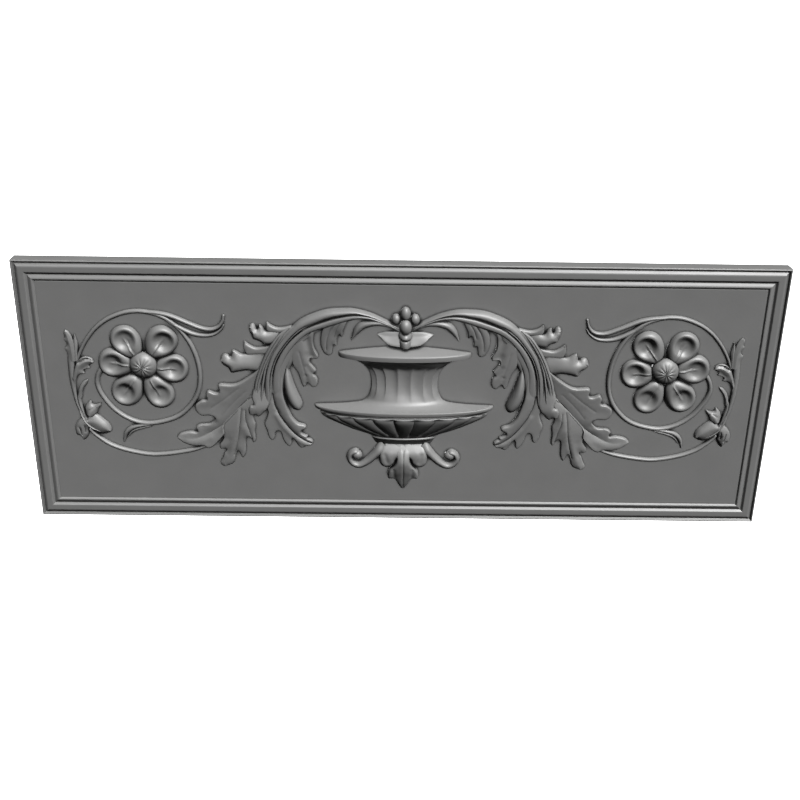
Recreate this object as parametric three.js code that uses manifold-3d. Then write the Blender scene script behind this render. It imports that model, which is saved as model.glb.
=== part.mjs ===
// Carved wall panel: a moulded board with an urn between two acanthus scrolls
// and two rosettes, all one solid. Millimetres, X along the panel, Z up and the
// carved front toward -Y. The origin is the middle of the flat back.
import * as THREE from "three";
import Module from "manifold-3d";

const wasm = await Module();
wasm.setup();

// Driving sizes
const panelLength = 1000;
const panelHeight = 370;
const boardThickness = 22; // at the flat of the border
const groundDrop = 2.5; // the ground lies this far behind the border's flat
const borderWidth = 28;
const axisShift = 5; // the carving is set this far to the right of the middle
const urnDepth = 34.4; // the urn's wide rim stands this far off the ground
const leafHeight = 10; // the acanthus stands this far off the ground
const petalHeight = 11;
const ringHeight = 5;
const smoothing = 1.3; // slivers finer than this are melted into their neighbours
const finishColour = "#8f8f8e";

// The carving is laid out on a drawing of this size and stretched to the panel
const drawnLength = 1000;
const drawnHeight = 370;
const drawnUrnDepth = 34.4;
const stretchX = panelLength / drawnLength;
const stretchZ = panelHeight / drawnHeight;
const ground = boardThickness - groundDrop;
const sink = Math.min(3, ground / 3); // shells are rooted this deep in the board

// Turns points and triangles into a solid that faces outward
function solidFrom(points, triangles) {
  const vertProperties = new Float32Array(points.flat());
  const triVerts = new Uint32Array(triangles.flat());
  const made = new wasm.Manifold(new wasm.Mesh({ numProp: 3, vertProperties, triVerts }));
  if (made.volume() > 0) return made;
  const turned = new Uint32Array(triangles.map(([a, b, c]) => [a, c, b]).flat());
  return new wasm.Manifold(new wasm.Mesh({ numProp: 3, vertProperties, triVerts: turned }));
}

// Joins rings of points into a closed skin: quads between rings and a fan at each end
function skin(rings) {
  const count = rings[0].length;
  const triangles = [];
  for (let i = 0; i < rings.length - 1; i++) {
    for (let j = 0; j < count; j++) {
      const a = i * count + j;
      const b = i * count + ((j + 1) % count);
      triangles.push([a, b, b + count], [a, b + count, a + count]);
    }
  }
  const last = (rings.length - 1) * count;
  for (let j = 1; j < count - 1; j++) {
    triangles.push([0, j + 1, j], [last, last + j, last + j + 1]);
  }
  return solidFrom(rings.flat(), triangles);
}

// A point of the carving: distance from the axis, level, height off the ground
function place(out, level, height) {
  return [out * stretchX, -(ground + height), level * stretchZ];
}

// A crowned strip carried along a path. Its half width and its crown follow the
// share s of the path; crossing lists [share of half width, share of crown] pairs.
const crossing = [[-1, 0.35], [0, 1], [1, 0.35]];
function strip(path, stations, halfWidth, crown) {
  const rings = [];
  for (let i = 0; i < stations; i++) {
    const s = i / (stations - 1);
    const spot = path.getPointAt(s);
    const run = path.getTangentAt(s);
    const w = halfWidth(s);
    const h = crown(s);
    const ring = crossing.map(([v, c]) => place(spot.x - run.y * v * w, spot.y + run.x * v * w, h * c));
    ring.push(place(spot.x - run.y * w, spot.y + run.x * w, -sink));
    ring.push(place(spot.x + run.y * w, spot.y - run.x * w, -sink));
    rings.push(ring);
  }
  return skin(rings);
}

function through(points) {
  return new THREE.SplineCurve(points.map(([x, y]) => new THREE.Vector2(x, y)));
}

// Straight change between the values of a list as s goes from 0 to 1
function along(values) {
  const last = values.length - 1;
  return (s) => {
    const k = Math.min(Math.floor(s * last), last - 1);
    return THREE.MathUtils.lerp(values[k], values[k + 1], s * last - k);
  };
}

// A leaf blade lies between its outer and its inner side, both drawn from base to
// tip, and has a crease along its spine. Each side rises over a rounded edge.
const edgeRound = 5; // how far in from the side the full height is reached
const edgeShare = 0.3; // height left at the side itself
const spineShare = 0.82; // height left along the crease
const leastGap = 0.45; // closest spacing of rings, as a share of the even spacing
function blade({ spine, outer, inner, rise, crease = spineShare }) {
  const tip = spine.at(-1);
  const sides = [through([...outer, tip]), through([...inner, tip])];
  const middle = through(spine);
  const stops = [outer.length, inner.length].flatMap((n) => (
    Array.from({ length: n + 1 }, (_, k) => k / n)
  )).sort((p, q) => p - q);
  const spacing = leastGap / Math.max(outer.length, inner.length);
  const stations = stops.filter((s, k) => k === 0 || s - stops[k - 1] > spacing);
  const rings = stations.filter((s) => s < 1).map((s) => {
    const centre = middle.getPointAt(s);
    const h = leafHeight * along(rise)(s);
    const [out, inn] = sides.map((side) => side.getPoint(s));
    const shoulder = (edge) => {
      const share = Math.min(edgeRound / Math.max(edge.distanceTo(centre), 1), 0.5);
      return edge.clone().lerp(centre, share);
    };
    return [
      [out, -sink], [out, h * edgeShare], [shoulder(out), h], [centre, h * crease],
      [shoulder(inn), h], [inn, h * edgeShare], [inn, -sink],
    ].map(([spot, height]) => place(spot.x, spot.y, height));
  });
  return skin(rings);
}

// Blades of the acanthus, with heights as shares of leafHeight from base to tip
const blades = [
  { // first lobe, high on the outside
    spine: [[140, 100], [165, 89], [185, 90], [202, 97]],
    outer: [[136, 107], [155, 100], [168, 99.5], [180, 106], [180.5, 95], [191, 103], [194, 96], [199, 104]],
    inner: [[150, 84], [172, 78], [188, 76], [200, 83], [204, 91]],
    rise: [0.9, 0.85, 0.8],
    crease: 1,
  },
  { // second lobe
    spine: [[168, 66], [195, 56], [218, 52], [242, 51]],
    outer: [[172, 76], [193, 69.5], [201, 72], [210, 78.5], [209, 62], [219, 62], [227, 65.5], [228, 57], [237, 59.5]],
    inner: [[178, 44], [200, 34], [218, 35], [232, 34.5], [238, 43]],
    rise: [0.9, 0.85, 0.8],
    crease: 1,
  },
  { // outer leaf
    spine: [[180, 42], [200, 10], [206, 3], [226, -24], [250, -46], [278, -61], [307, -60]],
    outer: [
      [190, 45], [205, 31], [220, 20], [240, 19], [247, 15], [247, 6], [261, 7], [266, 1], [264, -5], [275, -7],
      [280, -17], [276, -27], [266, -29], [256, -29], [255, -34], [266, -40], [279, -42], [281, -49], [277, -53],
      [292, -51], [304, -55],
    ],
    inner: [
      [180, 10], [204, -12], [222, -34], [238, -50], [247, -60], [257, -72], [269, -76], [276, -71], [288, -72],
      [299, -68],
    ],
    rise: [0.9, 0.8, 0.7],
  },
  { // hanging lobe under the outer leaf
    spine: [[196, 8], [214, -20], [228, -55], [236, -85], [241, -105]],
    outer: [
      [200, 0], [222, -30], [240, -52], [242, -62], [250, -73], [248, -80], [241, -78], [246, -88], [250, -98],
      [247, -104],
    ],
    inner: [[190, -4], [206, -35], [216, -64], [222, -80], [229, -90], [231, -101], [236, -104]],
    rise: [0.8, 0.75, 0.65],
  },
  { // small curl between the leaves
    spine: [[184, 20], [192, 2], [196, -14], [199, -27]],
    outer: [[190, 20], [204, 8], [203, -4], [201, -9], [207, -14], [208, -21], [204, -27]],
    inner: [[176, 10], [182, -5], [184, -17], [190, -22], [194, -28]],
    rise: [1, 1, 0.9],
    crease: 1,
  },
  { // inner leaf
    spine: [[176, 40], [177, 10], [172, -15], [160, -38], [143, -58], [122, -68]],
    outer: [
      [190, 20], [186, -5], [183, -20], [185, -30], [188, -40], [185, -48], [182, -60], [178, -64], [175, -58],
      [171, -51], [167, -54], [163, -66], [156, -74], [152, -70], [151, -61], [146, -68], [139, -75], [131, -74],
      [125, -71],
    ],
    inner: [
      [160, 45], [161, 20], [159, -3], [155, -20], [148, -31], [138, -37], [130, -41], [131, -46], [139, -49],
      [132, -54], [128, -57], [124, -61],
    ],
    rise: [1, 0.9, 0.8],
    crease: 0.7,
  },
  { // scalloped leaf toward the axis
    spine: [[140, 80], [134, 55], [127, 35], [120, 14]],
    outer: [[152, 75], [148, 58], [144, 38], [138, 22], [134, 15], [130, 22], [126, 16]],
    inner: [[124, 92], [127, 75], [126, 58], [121, 48], [116, 38], [121, 33], [116, 28], [115, 20]],
    rise: [0.9, 0.8, 0.7],
  },
  { // small leaf by the top of the urn
    spine: [[88, 113], [101, 98], [105, 80], [101, 58]],
    outer: [[100, 110], [109, 98], [111, 84], [110, 71], [106, 62]],
    inner: [[72, 116], [76, 104], [81, 94], [82, 84], [88, 89], [90, 80], [91, 71], [96, 71], [97, 61]],
    rise: [0.9, 0.75, 0.65],
  },
];

// Long strands of the acanthus: points, half widths, crowns as shares of leafHeight
const strands = [
  [[[5, 98], [25, 108], [45, 117.5], [65, 122], [85, 120.5], [105, 116], [130, 105], [152, 90], [172, 66],
    [184, 38], [189, 12]], [2, 2.8, 3.2, 3.5, 5.5, 8, 10, 10, 9, 8, 6], [0.7, 1, 1.15, 1.15, 1], 12],
  [[[5, 95], [25, 105.5], [45, 112], [65, 115], [98, 108], [125, 91], [148, 66], [163, 35], [165, 0], [150, -32]],
    [2, 3, 4, 5, 8, 10, 10, 9, 8, 6], [0.7, 0.9, 1, 1, 0.9], 12],
  [[[95, 113], [131, 98], [158, 76], [173, 50], [178, 20]], [2, 6, 8, 8, 7], [1, 1, 1], 6],
  [[[10, 97], [25, 104.5], [40, 107], [54, 104], [63, 96], [71, 82]],
    [2.5, 3.5, 4.5, 5.5, 4.5, 1], [0.6, 0.8, 0.8, 0.7, 0.5], 8],
  [[[152, 44], [152, 20], [147, 0], [136, -20]], [4, 7, 9, 3], [0.6, 0.8, 0.9, 0.7], 6],
  [[[124, 97], [125, 82], [121, 66], [117, 55]], [6, 6, 5, 4], [0.8, 0.7, 0.8], 5],
  [[[192, 5], [205, -30], [214, -62], [221, -92]], [5, 8, 8, 1.5], [0.7, 0.75, 0.7, 0.5], 6],
  [[[190, 0], [198, -28], [201, -50], [204, -69]], [5, 6, 6, 1], [0.7, 0.7, 0.7, 0.5], 5],
];

// Scrolls, vine and stems: points, half widths, crowns in millimetres
const tendrils = [
  // ring round the rosette
  [[[433, 48], [416, 80], [383, 109], [330, 117], [287, 83], [272, 32], [285, -12], [323, -38],
    [369, -36], [403, -3], [407, 28]], [2.5, 3, 3], [0.8, 1, 1], 24],
  // double end of the scroll
  [[[335, 116], [305, 112], [283, 102.5], [260, 94.5], [244, 98], [237, 115]],
    [1.5, 3, 3.2, 1], [0.8, 1.1, 1.1, 0.6], 9],
  [[[315, 109], [293, 95], [270, 86.5], [250, 88.5], [239, 98], [235, 114]],
    [1.5, 3.2, 3.5, 1], [0.8, 1.1, 1.1, 0.6], 9],
  // small leaf under the ring
  [[[345, -42], [362, -46], [376, -54], [382, -70]], [2, 4, 4.5, 1], [0.8, 1, 1, 0.6], 5],
  // stem along the bottom
  [[[268, -72], [305, -85], [343, -89], [393, -76], [426, -50]], [2.5, 3, 3, 3], [1, 1, 1, 1], 10],
  // vine up the side
  [[[424, -40], [434, -24], [441, 0], [442, 30], [438, 66], [442, 91]],
    [3, 3.5, 4, 4, 4, 1], [1.2, 1.2, 1, 1, 1, 0.6], 9],
  [[[441, 40], [436, 56], [432, 72], [435, 87]], [2, 3, 3.2, 1], [0.8, 1, 1, 0.6], 5],
  [[[440, 4], [437, 24], [428, 40], [413, 50]], [2, 3.5, 4.5, 1.2], [0.8, 1, 1.1, 0.6], 6],
  [[[436, 20], [428, 34], [416, 41]], [2, 3.5, 1.5], [0.8, 1, 0.6], 4],
  [[[435, -28], [434, -5], [430, 8], [422, 20]], [2, 2.5, 3, 1], [0.8, 1, 1, 0.6], 5],
  // bud: outer leaf, upper leaf and the two lower leaves
  [[[427, -36], [415, -42], [405, -48], [396, -55]], [5, 10, 9, 1.5], [1.6, 2.2, 2, 0.8], 6],
  [[[424, -33], [418, -22], [408, -13]], [4, 7, 2], [1.2, 1.6, 0.8], 4],
  [[[429, -34], [438, -43], [441, -57]], [4, 5.5, 2], [1.2, 1.5, 0.8], 5],
  [[[426, -42], [430, -54], [435, -67]], [5, 8, 1.5], [1.4, 1.6, 0.8], 5],
];

// Rosette: a domed button in a ring of cupped petals
const rosette = { out: 345, level: 43, petals: 6, turn: 184, inner: 14, outer: 62, petalHalfWidth: 20 };
const button = { radius: 18, height: 18 };
const petalShape = { // shares of the petal's length, width or height
  neckWidth: 0.45, // at the button
  widestAt: 0.6,
  tipWidth: 0.3,
  endRim: 0.75, // height of the rim at either end
  hollow: 0.45, // height of the hollow near the button
  hollowEnds: [0.65, 0.92], // where the hollow rises to the rim again
  vein: 1.08, // height of the vein over the hollow
  side: [1, 0.35],
  rimAt: 0.84,
  hollowAt: 0.55,
  tipHeight: 0.55,
  stations: 7,
};

// A petal is a strip with raised rims, a low hollow and a vein along its middle
function petal(index) {
  const turn = THREE.MathUtils.degToRad(rosette.turn + (index * 360) / rosette.petals);
  const spot = (r) => new THREE.Vector2(rosette.out + r * Math.cos(turn), rosette.level + r * Math.sin(turn));
  const path = new THREE.LineCurve(spot(rosette.inner), spot(rosette.outer));
  const shape = petalShape;
  const width = (s) => {
    const opening = Math.sin(Math.min(s / shape.widestAt, 1) * Math.PI / 2);
    if (s < shape.widestAt) return rosette.petalHalfWidth * THREE.MathUtils.lerp(shape.neckWidth, 1, opening);
    const past = (s - shape.widestAt) / (1 - shape.widestAt);
    return rosette.petalHalfWidth * Math.max(Math.sqrt(1 - past ** 2), shape.tipWidth);
  };
  const rings = [];
  for (let i = 0; i < shape.stations; i++) {
    const s = i / (shape.stations - 1);
    const at = path.getPointAt(s);
    const run = path.getTangentAt(s);
    const w = width(s);
    const filling = THREE.MathUtils.smoothstep(s, ...shape.hollowEnds);
    const hollow = THREE.MathUtils.lerp(shape.hollow, 1, filling);
    const cross = [
      [-shape.side[0], shape.side[1]], [-shape.rimAt, 1], [-shape.hollowAt, hollow], [0, hollow * shape.vein],
      [shape.hollowAt, hollow], [shape.rimAt, 1], shape.side,
    ];
    const rim = petalHeight * THREE.MathUtils.lerp(shape.endRim, 1, Math.sin(s * Math.PI));
    const h = i === shape.stations - 1 ? rim * shape.tipHeight : rim;
    const ring = cross.map(([v, c]) => place(at.x - run.y * v * w, at.y + run.x * v * w, h * c));
    ring.push(place(at.x - run.y * w, at.y + run.x * w, -sink));
    ring.push(place(at.x + run.y * w, at.y - run.x * w, -sink));
    rings.push(ring);
  }
  return skin(rings);
}

// Half of an egg that stands off the ground, closed just short of its pole
const poleShare = 0.96;
function dome(out, level, wide, tall, height, sides = 12, rows = 4) {
  const rings = [];
  for (let i = 0; i <= rows; i++) {
    const lift = (i / rows) * poleShare * Math.PI / 2;
    const ring = [];
    for (let j = 0; j < sides; j++) {
      const a = (j / sides) * Math.PI * 2;
      ring.push(place(
        out + wide * Math.cos(lift) * Math.cos(a),
        level + tall * Math.cos(lift) * Math.sin(a),
        height * Math.sin(lift),
      ));
    }
    rings.push(ring);
  }
  rings.unshift(rings[0].map(([x, , z]) => [x, -(ground - sink), z]));
  return skin(rings);
}

// Urn profile from the top down: half width, level and depth at the middle
const urnProfile = [
  [4, 74, 1.1], [60, 69, 17.1], [87.5, 65.6, 24.9], [87.5, 59.4, 24.9], [62, 53, 16.6], [51, 45, 13.4],
  [45.5, 33, 12], [44.5, 20, 12.3], [47, 6, 15.4], [56, -3.5, 21.2], [80, -8, 27.2], [120, -9.5, 34.3],
  [120.5, -14, 34.4], [110, -17, 31.4], [112, -22, 32], [93, -34, 26.5], [74, -43, 21.1], [44, -55, 12.5],
  [42, -60, 12], [36, -67, 10.3], [20, -71, 5.7],
];
const flutedRows = [5, 9]; // rows of the profile that carry the neck's flutes
const ribbedRows = [14, 17]; // rows that carry the ribs of the bowl
const fluteCount = 8;
const ribCount = 11;
const fluteCut = 0.05; // share of the depth taken by a flute
const ribCut = 0.06;
const urnSides = 18;

// The urn is half of a flattened turning; its ring is cut by flutes or ribs
function urn() {
  const rings = urnProfile.map(([half, level, depth], row) => {
    const ring = [];
    const fluted = row >= flutedRows[0] && row <= flutedRows[1];
    const ribbed = row >= ribbedRows[0] && row <= ribbedRows[1];
    for (let j = 0; j <= urnSides; j++) {
      const share = j / urnSides;
      const a = Math.PI * share;
      let cut = 0;
      if (fluted) cut = fluteCut * Math.abs(Math.sin(share * fluteCount * Math.PI));
      if (ribbed) cut = ribCut * Math.abs(Math.cos(share * ribCount * Math.PI));
      const kept = 1 - cut * Math.sin(a);
      const height = (depth * urnDepth) / drawnUrnDepth;
      ring.push(place(half * kept * Math.cos(a), level, height * kept * Math.sin(a)));
    }
    ring.push(place(-half, level, -sink));
    ring.push(place(half, level, -sink));
    return ring;
  });
  return skin(rings);
}

// Finial over the urn: berries, the cup that holds them and a leaf to each side
const berries = [ // out, level, half width, half height and height off the ground
  [0, 120, 7.2, 10.2, 13.5],
  [0, 103.6, 8.2, 10.6, 20],
  [12.6, 113, 6.8, 8.2, 13],
];
const finialLeaf = [[[0, 84], [18, 84], [37, 89]], [9, 9.5, 1.5], [16, 14, 4], 6];
const cup = [[[0, 72], [0, 84], [0, 97]], [9, 9.5, 7], [17, 17, 12], 5];

// Pendant under the foot: volute arms, calyx fingers and the pointed leaf
const volute = [[[24, -66], [38, -83.5], [49, -94], [60, -100], [68.8, -97.5], [73.4, -90], [71.5, -83],
  [65.5, -79.5], [62, -83]], [9, 7.6, 6.4, 5.9, 5.4, 4.8, 4.6, 4.4, 6], [10, 9, 9, 9.5, 9.5, 9, 9, 9.5, 10], 14];
const pendants = [
  [[[6, -66], [13, -84], [19, -104]], [8, 8, 2], [10, 10, 5], 6],
  [[[10, -66], [22, -84], [29, -102]], [8, 8, 2], [10, 9, 5], 6],
  [[[12, -68], [28, -82], [37, -96]], [8, 8, 2], [9, 8, 4], 6],
  [[[3, -80], [10, -100], [19, -119]], [7, 8, 2], [9, 8, 4], 6],
];
const middleLeaf = [[[0, -66], [0, -100], [0, -138]], [14, 12, 1], [13, 13, 4], 7];

function strips(rows, scale) {
  return rows.map(([points, widths, crowns, stations = 10]) => {
    const crown = along(crowns);
    return strip(through(points), stations, along(widths), (s) => scale * crown(s));
  });
}

// The board: one outline carried round the panel with mitred corners.
// Each pair is the distance in from the edge and the share of groundDrop.
const borderProfile = [
  [0, 0.5], [2.5, 0.85], [4.5, 0.15], [9, 0.8], [11.5, 1], [16, 1], [20, 0.2], [24.5, 0.85], [26, 0.85], [28, 0],
];
function board() {
  const ring = (inset, depth) => {
    const x = panelLength / 2 - inset;
    const z = panelHeight / 2 - inset;
    return [[-x, -depth, -z], [x, -depth, -z], [x, -depth, z], [-x, -depth, z]];
  };
  const drawnBorder = borderProfile.at(-1)[0];
  const rings = borderProfile.map(([inset, share]) => (
    ring((inset * borderWidth) / drawnBorder, ground + share * groundDrop)
  ));
  return skin([ring(0, 0), ...rings]);
}

// One half of the carving, then its mirror image
const half = [
  ...blades.map(blade),
  ...strips(strands, leafHeight),
  ...strips(tendrils, ringHeight),
  ...Array.from({ length: rosette.petals }, (_, index) => petal(index)),
  dome(rosette.out, rosette.level, button.radius, button.radius, button.height, 14, 4),
  dome(...berries[2], 10, 3),
  ...strips([finialLeaf, volute, ...pendants], 1),
];
const right = wasm.Manifold.union(half);
const centre = wasm.Manifold.union([
  urn(),
  dome(...berries[0], 10, 3),
  dome(...berries[1], 12, 4),
  ...strips([cup, middleLeaf], 1),
]);
const carving = wasm.Manifold.union([right, right.mirror([1, 0, 0]), centre])
  .simplify(smoothing)
  .translate([axisShift, 0, 0]);

// Small closed pockets between crossing strips are filled: only the outer skin is kept
const skins = board().add(carving).decompose();
const panel = skins.reduce((best, next) => (next.volume() > best.volume() ? next : best));

// Turns the finished solid into a flat shaded mesh
function meshFrom(solid, name, colour) {
  const { vertProperties, triVerts, numProp } = solid.getMesh();
  const geometry = new THREE.BufferGeometry();
  const positions = new Float32Array((vertProperties.length / numProp) * 3);
  for (let i = 0; i < positions.length / 3; i++) {
    for (let k = 0; k < 3; k++) positions[i * 3 + k] = vertProperties[i * numProp + k];
  }
  geometry.setAttribute("position", new THREE.BufferAttribute(positions, 3));
  geometry.setIndex(new THREE.BufferAttribute(new Uint32Array(triVerts), 1));
  geometry.computeVertexNormals();
  const material = new THREE.MeshStandardMaterial({ color: colour, roughness: 0.5, metalness: 0 });
  material.name = "painted_carving";
  const mesh = new THREE.Mesh(geometry, material);
  mesh.name = name;
  return mesh;
}

const group = new THREE.Group();
group.name = "carved_wall_panel";
group.add(meshFrom(panel, "carved_panel", finishColour));

export default group;
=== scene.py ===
import math
import bpy
import numpy as np
from mathutils import Matrix, Vector
from mathutils.geometry import delaunay_2d_cdt


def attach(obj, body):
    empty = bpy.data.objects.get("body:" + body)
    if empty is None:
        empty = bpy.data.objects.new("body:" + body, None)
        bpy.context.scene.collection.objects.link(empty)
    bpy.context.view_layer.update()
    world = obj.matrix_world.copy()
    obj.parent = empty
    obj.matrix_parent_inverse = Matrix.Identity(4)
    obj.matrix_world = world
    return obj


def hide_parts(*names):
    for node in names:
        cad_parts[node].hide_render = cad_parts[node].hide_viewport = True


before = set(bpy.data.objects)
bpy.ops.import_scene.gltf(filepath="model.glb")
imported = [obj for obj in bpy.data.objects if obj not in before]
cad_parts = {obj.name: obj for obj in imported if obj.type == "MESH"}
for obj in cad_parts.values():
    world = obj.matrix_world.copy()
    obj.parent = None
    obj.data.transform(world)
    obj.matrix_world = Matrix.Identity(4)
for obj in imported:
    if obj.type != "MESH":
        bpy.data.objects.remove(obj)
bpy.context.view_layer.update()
print("frame loaded")

# All drawing sizes are millimetres: out is the distance from the carving's own axis,
# level is the height above the middle of the panel, and height stands off the ground.
metre = 0.001
panel = {
    "length": 1000.0,
    "height": 370.0,
    "thickness": 22.0,      # at the flat of the border
    "groundDrop": 2.5,      # the ground lies this far behind that flat
    "axisShift": 5.0,       # the carving is set this far to the right
    "sink": 3.0,            # forms are rooted this deep in the board
    "sharpFrom": 42.0,      # an edge that turns by more degrees than this stays sharp
    "borderRows": 3,        # rows of the surface to each point of the border profile
    # border profile: distance in from the edge, height off the ground as a share of groundDrop
    "border": [
        [0.0, 0.3], [0.4, 0.75], [1.3, 0.95], [2.3, 0.85], [3.3, 0.3], [4.2, -0.1], [5.0, 0.0], [6.4, 0.45],
        [8.0, 0.86], [9.3, 0.98], [10.6, 1.0], [15.4, 1.0], [16.6, 0.85], [18.0, 0.25], [19.2, -0.1],
        [20.3, 0.05], [21.8, 0.4], [23.6, 0.76], [25.0, 0.85], [26.0, 0.7], [27.0, 0.15], [27.8, -0.05],
        [28.6, 0.0], [29.5, 0.0],
    ],
}
ground = panel["thickness"] - panel["groundDrop"]
stripNet = {
    "step": 2.6, "across": 10,      # distance between rows, and pieces across
    "fewestRows": 8,        # along the body of a short strip
    "endRows": 7,
    "longestEnd": 0.3,      # the round end takes no more than this share of the length
    "endGap": 0.004,        # a small cap closes it, this share of the end from its tip
    "endWidth": 0.03, "endCrown": 0.05,         # shares of the section that are left there
    "endPower": 0.6,        # below 1 the crown falls later than the width
    "grooveRows": [-1.6, -0.7, 0, 0.7, 1.6],    # rows beside a groove, in widths of it
    "grooveFade": 0.12, "grooveEnd": 0.85,      # it deepens over the first share and fades past the second
}
leafNet = {
    "grid": 2.6,            # distance between points inside a leaf
    "step": 1.4,            # distance between points along its sides and folds
    "rings": (0.12, 0.35, 0.68, 1.1),   # rows beside the sides, as shares of their rounding
    "ringKept": 0.93,       # a point stays if it is this share of its ring's distance from every side
    "fanGap": 0.9,          # distance of the rows on each side of a fold
    "fanKept": 0.7,         # least distance of those rows from the sides
    "rowShare": 0.866,      # height of an even triangle as a share of its side
    "sideGap": 0.8, "rowGap": 0.6,      # least gap from inside points to sides and rows, as shares of grid
    "fadeOver": 0.25,       # share of the spine over which a fold runs out
    "hollowEdge": 2.5,      # hollows run out over this distance from the sides
    "lowest": 0.3,          # the surface stays this far off the ground
    "merge": 1e-4, "floorMerge": 1e-6,  # points closer than this become one
}
eggNet = {
    "rows": 16, "columns": 36,
    "poleShare": 0.98,      # a small cap closes each pole past this share of the way
    "rayFull": 0.35, "rayEnd": 0.9,     # distance from the middle, as shares of the radius
    "rayLow": -0.1, "rayHigh": 0.4,     # level off the centre, as shares of the radius
}
shells = []


# Curves and shells


# Smooth curve through points: on each span a cubic whose slopes are half the
# difference between the neighbours; shares run from 0 to 1, one span per point pair
def curveAt(points, shares):
    listed = np.asarray(points, float)
    padded = np.vstack([listed[:1], listed, listed[-1:]])
    spans = len(listed) - 1
    along = np.clip(np.asarray(shares, float), 0, 1) * spans
    span = np.minimum(along.astype(int), spans - 1)
    part = (along - span)[:, None]
    before, here, there, after = (padded[span + k] for k in range(4))
    slopeHere = (there - before) / 2
    slopeThere = (after - here) / 2
    cubic = (2 * here - 2 * there + slopeHere + slopeThere) * part ** 3
    square = (-3 * here + 3 * there - 2 * slopeHere - slopeThere) * part ** 2
    return cubic + square + slopeHere * part + here


# The same curve by share of its length, which is the sum of many short straight pieces.
# Gives the points and the length.
def curveBy(points, shares):
    piecesPerPoint = 40
    fine = np.linspace(0, 1, piecesPerPoint * len(points))
    line = curveAt(points, fine)
    run = np.concatenate([[0], np.cumsum(np.linalg.norm(np.diff(line, axis=0), axis=1))])
    return curveAt(points, np.interp(np.asarray(shares) * run[-1], run, fine)), run[-1]


# A curve through points, sampled at even steps of about the given length
def evenly(points, step):
    fewestPieces = 3
    length = curveBy(points, [0.0])[1]
    pieces = max(int(length / step), fewestPieces)
    return curveBy(points, np.linspace(0, 1, pieces + 1))[0]


# Direction of a line at each of its points: the difference of its neighbours, made 1 long
def directionsOf(line):
    run = np.gradient(line, axis=0)
    return run / np.linalg.norm(run, axis=1)[:, None]


# Straight change between listed values as share goes from 0 to 1
def change(values, share):
    return np.interp(share, np.linspace(0, 1, len(values)), values)


# The same along a smooth curve
def smoothChange(values, share):
    return curveAt(np.transpose([values]), share)[:, 0]


# 0 on the low side, 1 on the high side, with a smooth rise between
def ramp(low, high, value):
    part = np.clip((value - low) / (high - low), 0, 1)
    return part * part * (3 - 2 * part)


# 0 at the edge, rising like a quarter circle to 1 at the given distance in
def roundUp(distance, radius):
    return np.sqrt(np.clip(1 - (1 - np.clip(distance / radius, 0, 1)) ** 2, 0, 1))


# Point of the carving in metres, from out, level and height off the ground
def place(out, level, height):
    return np.stack([out, -(ground + height), level], axis=-1) * metre


# Keeps a set of faces, given as (corner numbers, corners to a face). A copy on the
# other side of the axis has its corners in the opposite order.
def addFaces(points, faces, mirrored):
    shells.append((points, faces))
    if mirrored:
        shells.append((points * [-1, 1, 1], [(corners[:, ::-1], size) for corners, size in faces]))


# Rows of closed loops become one closed shell: quads round the sides, a cap at each
# end, turned so that its volume is positive
def addShell(rings, mirrored=True):
    rows, columns = rings.shape[:2]
    points = rings.reshape(-1, 3)
    index = np.arange(rows * columns).reshape(rows, columns)
    nextColumn = np.roll(index, -1, axis=1)
    quads = np.stack([index[:-1], nextColumn[:-1], nextColumn[1:], index[1:]], axis=-1).reshape(-1, 4)
    a, b, c, d = (points[quads[:, k]] for k in range(4))
    volume = np.einsum("ij,ij->", a, np.cross(b, c)) + np.einsum("ij,ij->", a, np.cross(c, d))
    faces = [(quads, 4), (index[:1, ::-1], columns), (index[-1:], columns)]
    if volume < 0:
        faces = [(corners[:, ::-1], size) for corners, size in faces]
    addFaces(points, faces, mirrored)


# Loop across a form: its face from one side to the other, then down into the board
def sectionLoop(out, level, height):
    first, last = (slice(None), slice(0, 1)), (slice(None), slice(-1, None))
    root = -panel["sink"] * np.ones_like(out[last])
    loop = [
        place(out, level, height),
        place(out[last], level[last], root),
        place(out[first], level[first], root),
    ]
    return np.concatenate(loop, axis=1)


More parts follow.
